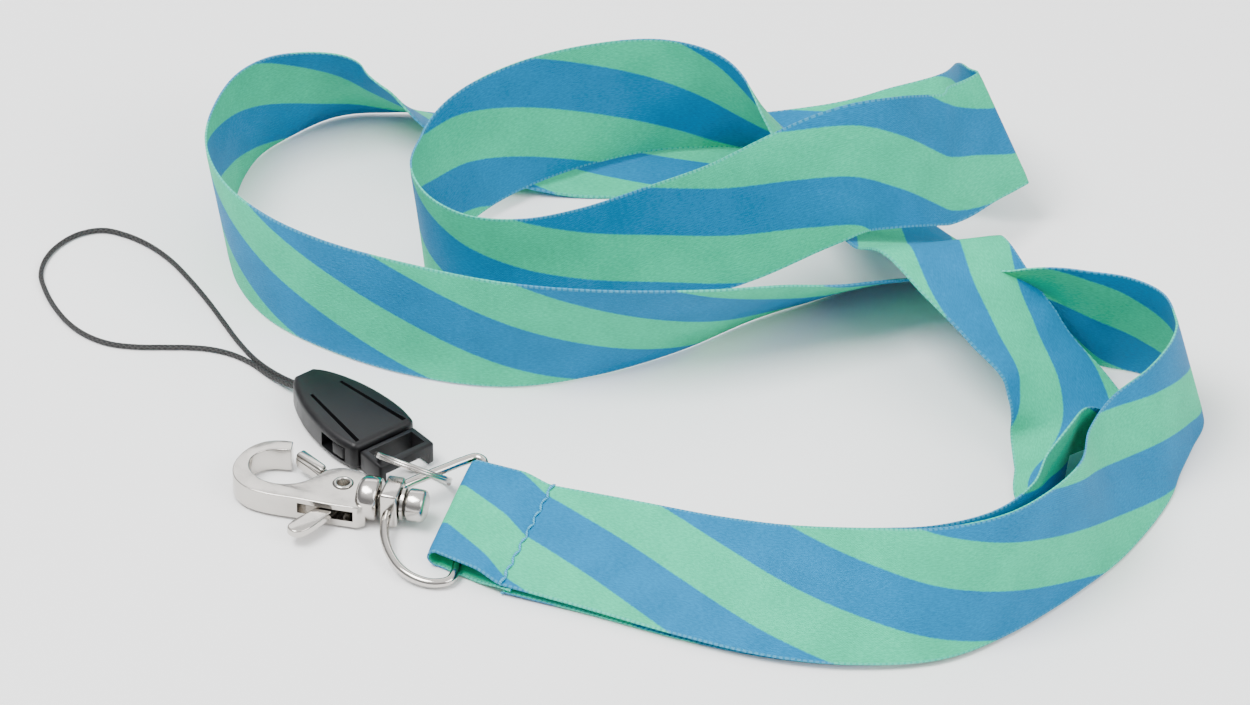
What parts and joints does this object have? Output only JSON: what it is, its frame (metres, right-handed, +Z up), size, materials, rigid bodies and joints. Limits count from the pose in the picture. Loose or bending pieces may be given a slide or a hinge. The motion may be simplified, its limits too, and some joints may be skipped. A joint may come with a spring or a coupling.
{
  "type": "lanyard",
  "caption": "Woven neck strap with a stitched fold holding a swivel loop, a sprung trigger hook, a split ring and a quick-release clip with a thin phone loop.",
  "frame": {"origin": "middle of the footprint of the laid lanyard without its phone loop cord, on the table", "axes": "+X across the picture from the hook end to the strap's right bend, +Y away from the hook side towards the far loops, +Z up from the table"},
  "size_m": [0.221, 0.178, 0.041],
  "materials": {
    "strap": "satin woven polyester, printed with blue and green diagonal stripes",
    "thread": "polyester sewing thread",
    "nickel": "bright nickel plate on cast zinc",
    "steel": "nickel-plated steel",
    "black": "black moulded plastic, fine satin grain",
    "cord": "black braided cord"
  },
  "bodies": {
    "strap": {"strap_ribbon": "strap", "strap_stitch_top": "thread", "strap_stitch_bottom": "thread"},
    "loop": {"swivel_loop": "nickel"},
    "hook": {"hook_body": "nickel", "gate_rivet": "steel", "gate_spring": "steel", "swivel_pin": "steel", "swivel_washer": "steel"},
    "gate": {"gate_lever": "nickel"},
    "ring": {"split_ring": "steel"},
    "plug": {"clip_plug": "black"},
    "socket": {"clip_socket": "black", "cord_knot": "cord", "phone_loop_cord": "cord"},
    "arm_left": {"clip_arm_left": "black"},
    "arm_right": {"clip_arm_right": "black"}
  },
  "joints": [
    {"name": "loop_tilt", "type": "hinge", "parent": "strap", "child": "loop", "pos_m": [-0.04295, -0.0476, 0.00375], "axis": [0.1773, 0.9733, 0.146], "range_deg": [0, 45]},
    {"name": "hook_swivel", "type": "hinge", "parent": "loop", "child": "hook", "pos_m": [-0.0571, -0.04338, 0.0044], "axis": [0.9659, -0.2588, 0], "range_deg": [-90, 90]},
    {"name": "gate_open", "type": "hinge", "parent": "hook", "child": "gate", "pos_m": [-0.06646, -0.0389, 0.0031], "axis": [0, 0, 1], "range_deg": [0, 18], "stiffness_Nm_per_rad": 0.02, "deforming": ["gate_spring"]},
    {"name": "split_ring_swing", "type": "hinge", "parent": "loop", "child": "ring", "pos_m": [-0.0512, -0.0368, 0.00536], "axis": [0.8718, 0.4844, 0.0727], "range_deg": [0, 15]},
    {"name": "clip_swing", "type": "hinge", "parent": "ring", "child": "plug", "pos_m": [-0.05524, -0.02924, 0.0039], "axis": [0.7848, 0.6198, 0], "range_deg": [0, 8]},
    {"name": "clip_release", "type": "slide", "parent": "plug", "child": "socket", "axis": [-0.6198, 0.7848, 0], "range_m": [0, 0.03], "deforming": ["clip_arm_left", "clip_arm_right"]},
    {"name": "clip_squeeze_left", "type": "hinge", "parent": "plug", "child": "arm_left", "pos_m": [-0.06188, -0.02697, 0.0031], "axis": [0, 0, 1], "range_deg": [-10, 0], "stiffness_Nm_per_rad": 0.05},
    {"name": "clip_squeeze_right", "type": "hinge", "parent": "plug", "child": "arm_right", "pos_m": [-0.05591, -0.02226, 0.0031], "axis": [0, 0, 1], "range_deg": [0, 10], "stiffness_Nm_per_rad": 0.05}
  ],
  "couplings": [
    {"joint": "clip_squeeze_right", "follows": "clip_squeeze_left", "ratio": -1}
  ]
}
